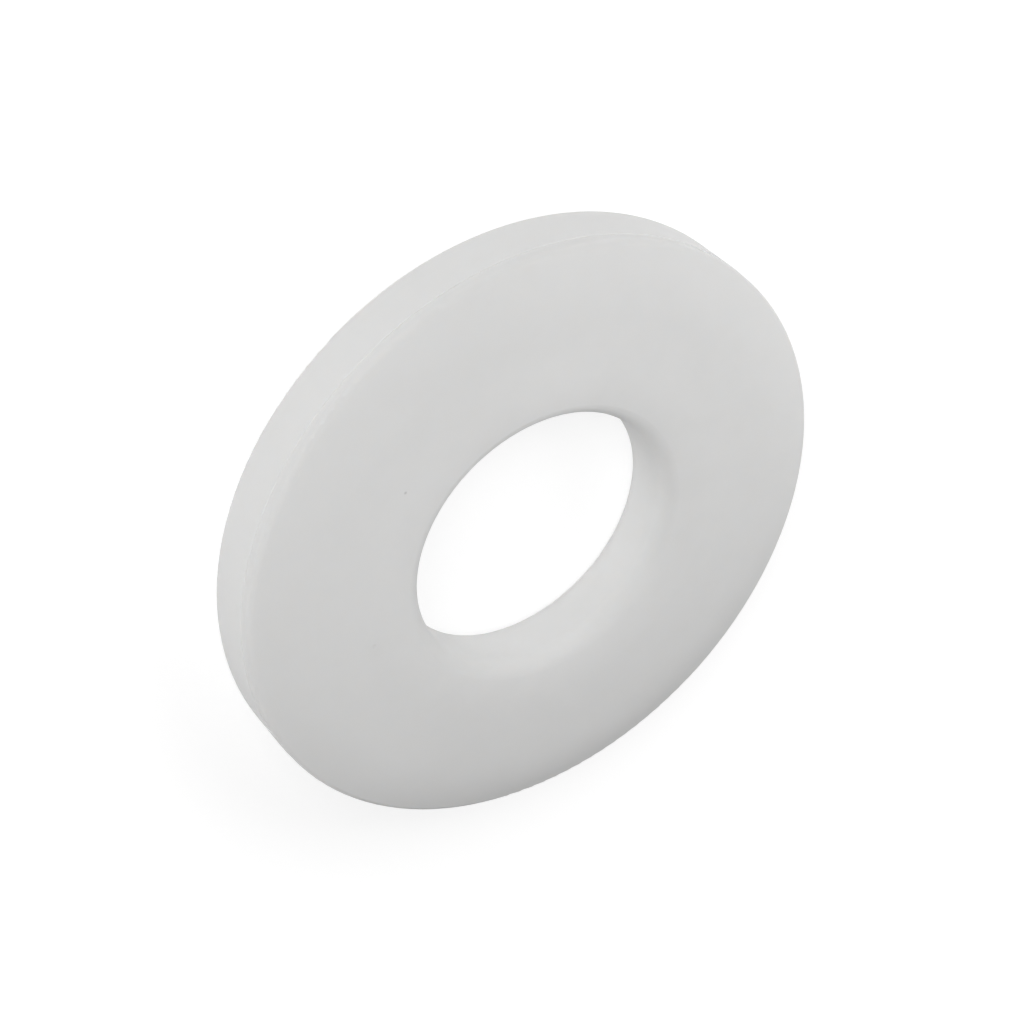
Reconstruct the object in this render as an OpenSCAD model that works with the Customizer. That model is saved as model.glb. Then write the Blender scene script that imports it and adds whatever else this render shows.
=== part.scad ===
// A moulded wear ring: one thick flat ring of white plastic with a plain bore.
// The front face is flat in a band round its middle, and crowned towards the rim and
// towards the bore. Each crown drops away from the flat on one large arc and turns
// into the wall on one small arc, and the two arcs touch without a corner. The mould
// parts on the side, and the side band behind that line stands a hair proud of the
// front half.
//
// The ring lies on its back face. The origin is on the bore's axis, in the plane of
// the back face, and +Z points out through the front face. All sizes are millimetres.

/* [Ring] */
// Diameter over the side band, the widest part of the ring
outer_d = 50.8; // [44:0.1:80]
// Diameter of the straight wall of the bore
bore_d = 22.225; // [8:0.025:30]
// Thickness from the back face to the flat of the front face
thickness = 6.35; // [5:0.05:16]

/* [Crown at the rim] */
// Width of the crown, from its start on the flat out to the front half's side
rim_crown_width = 5; // [2:0.1:6]
// Radius of the crown's large arc, which is tangent to the flat
rim_crown_r = 12.5; // [9:0.5:40]
// Radius of the small arc between the crown and the side
rim_corner_r = 0.6; // [0.2:0.05:1.2]

/* [Crown at the bore] */
// Width of the crown, from its start on the flat in to the wall of the bore
bore_crown_width = 4; // [2.6:0.1:5]
// Radius of the crown's large arc, which is tangent to the flat
bore_crown_r = 12.5; // [6:0.5:40]
// Radius of the small arc between the crown and the wall of the bore
bore_corner_r = 1.5; // [0.5:0.05:2.4]

/* [Back edges] */
// Radius of the outer edge round the back face
back_edge_r = 0.4; // [0.1:0.05:2]
// Radius of the bore's edge at the back face
back_bore_edge_r = 1.8; // [0.5:0.05:2.4]

/* [Parting line] */
// Depth of the parting line on the side, below the flat of the front face
parting_depth = 2.15; // [1.9:0.05:4]
// Height of the step at the parting line, from the front half up to the side band
parting_step = 0.05; // [0.03:0.01:0.3]

/* [Hidden] */

// Radii of the side band, of the front half's side, and of the bore
band_r = outer_d / 2;
front_half_r = band_r - parting_step;
bore_r = bore_d / 2;
// Height of the parting line above the back face
parting_z = thickness - parting_depth;
// How far a cutting shape runs past the surface that it trims
overcut = 1;
// Step that the height of the small arc's centre is rounded up to
height_step = 0.00001;
// Segments in a full circle
$fn = 144;

// Everything outside a rounded outer corner. The sharp corner is at the origin, and
// the material lies on its -X and -Y sides.
module rounded_trim(edge_r) {
    translate([-edge_r, -edge_r])
        difference() {
            square(edge_r + overcut);
            circle(edge_r);
        }
}

// Everything outside a crowned corner, placed as the rounded one is: the flat is on
// y = 0 and the wall on x = 0. The large arc starts at x = -width, tangent to the
// flat, and the small arc ends tangent to the wall.
module crowned_trim(width, large_r, small_r) {
    // The small arc touches the large one from inside, so their centres are as far
    // apart as their radii differ. That gives the slope where the arcs meet and the
    // height of the small arc's centre, which is rounded up by less than a hair so
    // that the two arcs always reach each other.
    centres_apart = large_r - small_r;
    meeting_slope = asin((width - small_r) / centres_apart);
    exact_y = centres_apart * cos(meeting_slope) - large_r;
    small_at_y = ceil(exact_y / height_step) * height_step;

    // Above the large arc, down to the level of the small arc's centre
    difference() {
        translate([-width, small_at_y]) square([width + overcut, overcut - small_at_y]);
        translate([-width, -large_r]) circle(large_r);
    }
    // Past the small arc, from the wall's direction up to the line of the two centres
    translate([-small_r, small_at_y])
        difference() {
            intersection() {
                square(small_r + overcut);
                rotate(-meeting_slope) square(small_r + overcut);
            }
            circle(small_r);
        }
}

// Half section of the ring: X is the radius, Y is the height above the back face
module ring_section() {
    difference() {
        union() {
            // Side band, from the back face up to the parting line
            translate([bore_r, 0]) square([band_r - bore_r, parting_z]);
            // Core and front half, which are narrower by the step
            translate([bore_r, 0]) square([front_half_r - bore_r, thickness]);
        }
        translate([front_half_r, thickness])
            crowned_trim(rim_crown_width, rim_crown_r, rim_corner_r);
        translate([bore_r, thickness]) mirror([1, 0])
            crowned_trim(bore_crown_width, bore_crown_r, bore_corner_r);
        translate([band_r, 0]) mirror([0, 1]) rounded_trim(back_edge_r);
        translate([bore_r, 0]) rotate(180) rounded_trim(back_bore_edge_r);
    }
}

module wear_ring() {
    color("whitesmoke") rotate_extrude() ring_section();
}

wear_ring();
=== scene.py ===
import math
import bpy
from mathutils import Matrix, Vector

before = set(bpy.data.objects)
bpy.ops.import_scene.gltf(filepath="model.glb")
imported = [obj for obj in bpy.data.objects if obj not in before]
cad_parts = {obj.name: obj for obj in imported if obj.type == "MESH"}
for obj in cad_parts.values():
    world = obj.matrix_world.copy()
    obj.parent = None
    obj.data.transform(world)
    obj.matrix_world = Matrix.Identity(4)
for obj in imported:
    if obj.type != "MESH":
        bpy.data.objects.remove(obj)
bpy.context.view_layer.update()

# Wear ring: one solid ring of milky white plastic, moulded in one shot. Its shape is
# the CAD solid's, and this section gives it the plastic: waxy, slightly translucent,
# faintly cloudy, with a satin skin that the mould's surface has left a little uneven.
OUTER_R, BORE_R, THICKNESS = 0.0254, 0.0111125, 0.00635
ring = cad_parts["wear_ring"]
plastic = bpy.data.materials.new("milky_plastic")
plastic.use_nodes = True
tree = plastic.node_tree
tree.nodes.clear()


def put(socket, value):
    """Link a socket to another one, or set it to a value"""
    if isinstance(value, bpy.types.NodeSocket):
        tree.links.new(value, socket)
    else:
        socket.default_value = value


def add(kind, **inputs):
    """A node with its inputs set by name, with underscores for spaces"""
    node = tree.nodes.new("ShaderNode" + kind)
    for name, value in inputs.items():
        put(node.inputs[name.replace("_", " ")], value)
    return node


def work_out(kind, operation, *values):
    """The outputs of a Math or VectorMath node with its inputs set in order"""
    node = add(kind)
    node.operation = operation
    for socket, value in zip(node.inputs, values):
        put(socket, value)
    return node.outputs


def number(operation, *values):
    """The result of a Math node"""
    return work_out("Math", operation, *values)["Value"]


def distance(place, point):
    """Distance from a place to a fixed point"""
    return work_out("VectorMath", "DISTANCE", place, point)["Value"]


def blend_colour(amount, first, second):
    """Two colours mixed by amount"""
    node = add("Mix")
    node.data_type = "RGBA"
    sockets = {socket.identifier: socket for socket in (*node.inputs, *node.outputs)}
    for name, value in (("Factor_Float", amount), ("A_Color", first), ("B_Color", second)):
        put(sockets[name], value)
    return sockets["Result_Color"]


def ramp(value, start, end, first=0.0, last=1.0, kind="LINEAR"):
    """A value that goes from first to last while another goes from start to end"""
    node = add("MapRange", Value=value, From_Min=start, From_Max=end,
               To_Min=first, To_Max=last)
    node.interpolation_type = kind
    return node.outputs["Result"]


def smooth(value, start, end):
    """0 at start and 1 at end, eased between them"""
    return ramp(value, start, end, kind="SMOOTHSTEP")


def noise(size, detail=2.0, rough=0.5):
    """A noise with patches of that size in metres"""
    return add("TexNoise", Vector=where, Scale=1 / size, Detail=detail,
               Roughness=rough).outputs["Fac"]


where = add("TexCoord").outputs["Object"]

# Colour: two clouds of the resin, a large one and a fine one, between two whites
PALE, DEEP = (0.715, 0.715, 0.711, 1), (0.690, 0.690, 0.685, 1)
LARGE_CLOUD, LARGE_SHARE = 0.011, 0.65
FINE_CLOUD, FINE_SHARE = 0.0022, 0.35
NOISE_LOW, NOISE_HIGH = 0.3, 0.7
cloud = number("ADD", number("MULTIPLY", noise(LARGE_CLOUD, 3.0), LARGE_SHARE),
               number("MULTIPLY", noise(FINE_CLOUD), FINE_SHARE))
colour = blend_colour(smooth(cloud, NOISE_LOW, NOISE_HIGH), DEEP, PALE)

# Painted light and shade by radius, matched to measured grey levels: the colour darkens
# from the bore out to the rim, so the bore is painted paler against the shade inside it.
# The tone changes quickly at the bore's edge and slowly across the face.
PAINTED_SHADE, MOST_SHADE_PAINTED, SHADE_PAINT_POWER = (0.620, 0.620, 0.616, 1), 0.5, 0.5
flattened = work_out("VectorMath", "MULTIPLY", where, (1, 1, 0))["Vector"]
radius = work_out("VectorMath", "LENGTH", flattened)["Value"]
outward = ramp(radius, BORE_R, OUTER_R)
rim_shade_paint = number("MULTIPLY", number("POWER", outward, SHADE_PAINT_POWER), MOST_SHADE_PAINTED)
# Painted shade: the colour is mixed towards a darker grey the further out it is
colour = blend_colour(rim_shade_paint, colour, PAINTED_SHADE)

# Painted shade and painted light, both matched to measured grey levels and placed on the
# ring's section by radius and height: the front corner at the rim is painted slightly
# darker to damp the highlight it catches, and a hair-wide band along the parting line is
# painted paler to cancel the shade of its small step.
CORNER_AT, CORNER_NEAR, CORNER_CLEAR = (0.0253, 0.00495, 0), 0.00035, 0.0007
CORNER_SHADE_SHARE = 0.5
PARTING_AT, PARTING_NEAR, PARTING_CLEAR = (0.02537, 0.0042, 0), 0.00003, 0.00008
PARTING_LIGHT_PAINT, PARTING_LIGHT_SHARE = (0.80, 0.80, 0.795, 1), 0.12
height = add("SeparateXYZ", Vector=where).outputs["Z"]
on_section = add("CombineXYZ", X=radius, Y=height).outputs["Vector"]
corner = smooth(distance(on_section, CORNER_AT), CORNER_CLEAR, CORNER_NEAR)
# Painted shade on the rim's front corner
colour = blend_colour(number("MULTIPLY", corner, CORNER_SHADE_SHARE), colour, PAINTED_SHADE)
# Painted light along the parting line, over the shade of its step
parting = smooth(distance(on_section, PARTING_AT), PARTING_CLEAR, PARTING_NEAR)
colour = blend_colour(number("MULTIPLY", parting, PARTING_LIGHT_SHARE), colour, PARTING_LIGHT_PAINT)

# A dark speck in the resin and a small pit, where the photo shows them on the face
SPECK_AT, SPECK_R, SPECK_CORE = (0.00427, -0.01553, THICKNESS), 0.00017, 0.3
SPECK, SPECK_SHARE = (0.10, 0.09, 0.08, 1), 0.26
PIT_AT, PIT_R, PIT_CORE = (0.01435, -0.00687, THICKNESS), 0.00022, 0.4
PIT, PIT_SHARE = (0.40, 0.39, 0.36, 1), 0.05
speck = smooth(distance(where, SPECK_AT), SPECK_R, SPECK_CORE * SPECK_R)
colour = blend_colour(number("MULTIPLY", speck, SPECK_SHARE), colour, SPECK)
pit = smooth(distance(where, PIT_AT), PIT_R, PIT_CORE * PIT_R)
colour = blend_colour(number("MULTIPLY", pit, PIT_SHARE), colour, PIT)

# Skin: a slow waviness, a fine satin grain, and the pit. Each has its share of the
# bump and its height in metres.
WAVE_SIZE, WAVE_SHARE, WAVE_HEIGHT = 0.0032, 0.5, 0.00002
GRAIN_SIZE, GRAIN_SHARE, GRAIN_HEIGHT = 0.00035, 0.25, 0.00001
PIT_BUMP, PIT_DEPTH = 0.8, 0.00004
skin = add("Bump", Strength=WAVE_SHARE, Distance=WAVE_HEIGHT, Height=noise(WAVE_SIZE, 1.0))
skin = add("Bump", Strength=GRAIN_SHARE, Distance=GRAIN_HEIGHT,
           Height=noise(GRAIN_SIZE, 3.0, 0.6), Normal=skin.outputs["Normal"])
skin = add("Bump", Strength=PIT_BUMP, Distance=PIT_DEPTH,
           Height=number("SUBTRACT", 1.0, pit), Normal=skin.outputs["Normal"])
SATIN_SIZE, SMOOTHEST, ROUGHEST = 0.004, 0.60, 0.72
satin = ramp(noise(SATIN_SIZE, 3.0), NOISE_LOW, NOISE_HIGH, SMOOTHEST, ROUGHEST)

# Half of the light goes a little way into the plastic, and the rest comes off its
# matt skin, which has little gloss.
shader = add("BsdfPrincipled", Base_Color=colour, Roughness=satin,
             Normal=skin.outputs["Normal"], IOR=1.5, Specular_IOR_Level=0.12,
             Diffuse_Roughness=1.0, Subsurface_Weight=0.5,
             Subsurface_Radius=(1.1, 1.0, 0.9), Subsurface_Scale=0.00035)
shader.subsurface_method = "RANDOM_WALK"
add("OutputMaterial", Surface=shader.outputs["BSDF"])
ring.material_slots[0].material = plastic

# Floor: a sheet of white card under the ring, which shows white to the camera and
# keeps the ring's soft shadow. It isn't part of the object.
FLOOR_HALF, FLOOR_Z = 2.0, -0.00005
CORNERS = ((-1, -1), (1, -1), (1, 1), (-1, 1))
sheet = bpy.data.meshes.new("card")
sheet.from_pydata([(x * FLOOR_HALF, y * FLOOR_HALF, FLOOR_Z) for x, y in CORNERS],
                  [], [(0, 1, 2, 3)])
card = bpy.data.objects.new("card", sheet)
bpy.context.scene.collection.objects.link(card)
card_paper = bpy.data.materials.new("card_paper")
card_paper.use_nodes = True
tree = card_paper.node_tree
tree.nodes.clear()


def seen_ray():
    """1 for a ray from the camera, straight or by way of gloss or glass, or else 0"""
    rays = add("LightPath").outputs
    direct = number("MAXIMUM", rays["Is Camera Ray"], rays["Is Glossy Ray"])
    return number("MAXIMUM", direct, rays["Is Transmission Ray"])


# What lights the ring comes off plain paper. What the camera sees also glows, up to
# plain white away from the ring.
PAPER, SEEN_PAPER = (0.9, 0.9, 0.9, 1), (0.30, 0.30, 0.30, 1)
NEAR_RING, CLEAR_OF_RING = 0.03, 0.06
GLOW_NEAR, GLOW_CLEAR = 0.77, 1.0
paper = add("BsdfDiffuse", Color=PAPER)
seen_paper = add("BsdfDiffuse", Color=SEEN_PAPER)
from_ring = work_out("VectorMath", "LENGTH", add("TexCoord").outputs["Object"])["Value"]
glow = add("Emission", Color=(1, 1, 1, 1),
           Strength=ramp(from_ring, NEAR_RING, CLEAR_OF_RING, GLOW_NEAR, GLOW_CLEAR))
white = add("AddShader")
put(white.inputs[0], seen_paper.outputs["BSDF"])
put(white.inputs[1], glow.outputs["Emission"])
either = add("MixShader", Fac=seen_ray())
put(either.inputs[1], paper.outputs["BSDF"])
put(either.inputs[2], white.outputs["Shader"])
add("OutputMaterial", Surface=either.outputs["Shader"])
sheet.materials.append(card_paper)

# Light: soft round lamps round the ring, some close and some further away, each with
# its azimuth, elevation and distance, and the share of plain white light that it
# gives. The room behind them is dark, and shows white to the camera only.
SPREAD = 2 / 3
LAMPS = (
    ("key", 270, 40, 0.30, 0.557),
    ("side", 160, 30, 0.10, 0.358),
    ("near", 225, 40, 0.10, 0.182),
    ("right", 315, 40, 0.10, 0.131),
    ("right_low", 315, 20, 0.30, 0.109),
    ("left_low", 135, 20, 0.10, 0.100),
    ("far", 0, 40, 0.30, 0.075),
    ("top", 270, 60, 0.10, 0.050),
)
for name, azimuth, elevation, gap, level in LAMPS:
    around, up = math.radians(azimuth), math.radians(elevation)
    toward = Vector((math.cos(around) * math.cos(up), math.sin(around) * math.cos(up),
                     math.sin(up)))
    lamp = bpy.data.lights.new(name, "AREA")
    lamp.shape = "DISK"
    lamp.size = SPREAD * gap
    # At level 1, a white surface at the origin that faces the lamp is about plain white
    lamp.energy = level * (math.pi * gap) ** 2
    stand = bpy.data.objects.new(name, lamp)
    stand.location = toward * gap
    stand.rotation_euler = toward.to_track_quat("Z", "Y").to_euler()
    bpy.context.scene.collection.objects.link(stand)

world = bpy.data.worlds.new("room")
bpy.context.scene.world = world
world.use_nodes = True
tree = world.node_tree
tree.nodes.clear()
sky = add("Background", Color=(1, 1, 1, 1), Strength=seen_ray())
add("OutputWorld", Surface=sky.outputs["Background"])

# Camera: it looks down on the ring at the photo's angle and is rolled as the photo
# is, so that the near side of the ring is at the upper left. The focal length, the
# ring's outer radius and the offsets of its middle in the frame are in pixels.
LOOK_DOWN = math.radians(46.93)
ROLL = math.radians(43.25)
SENSOR_MM = 36.0
NEAREST_SEEN = 0.005
PHOTO_PX, FOCAL_PX, RADIUS_PX = 1024, 2325.1, 327.05
CENTRE_X_PX, CENTRE_Y_PX = 16.88, 15.49
forward = Vector((0, math.sin(LOOK_DOWN), -math.cos(LOOK_DOWN)))
level_right = Vector((1, 0, 0))
level_down = forward.cross(level_right)
turn = -(math.pi / 2 + ROLL)
right = level_right * math.cos(turn) + level_down * math.sin(turn)
down = level_down * math.cos(turn) - level_right * math.sin(turn)
away = FOCAL_PX / RADIUS_PX * OUTER_R
pixel = away / FOCAL_PX
middle = Vector((0, 0, THICKNESS / 2))
lens = bpy.data.cameras.new("camera")
lens.sensor_width = SENSOR_MM
lens.lens = FOCAL_PX / PHOTO_PX * SENSOR_MM
lens.clip_start = NEAREST_SEEN
camera = bpy.data.objects.new("camera", lens)
place = Matrix((right, -down, -forward)).transposed().to_4x4()
place.translation = (middle - forward * away - right * (CENTRE_X_PX * pixel)
                     - down * (CENTRE_Y_PX * pixel))
camera.matrix_world = place
bpy.context.scene.collection.objects.link(camera)
bpy.context.scene.camera = camera
bpy.context.scene.view_settings.view_transform = "Standard"
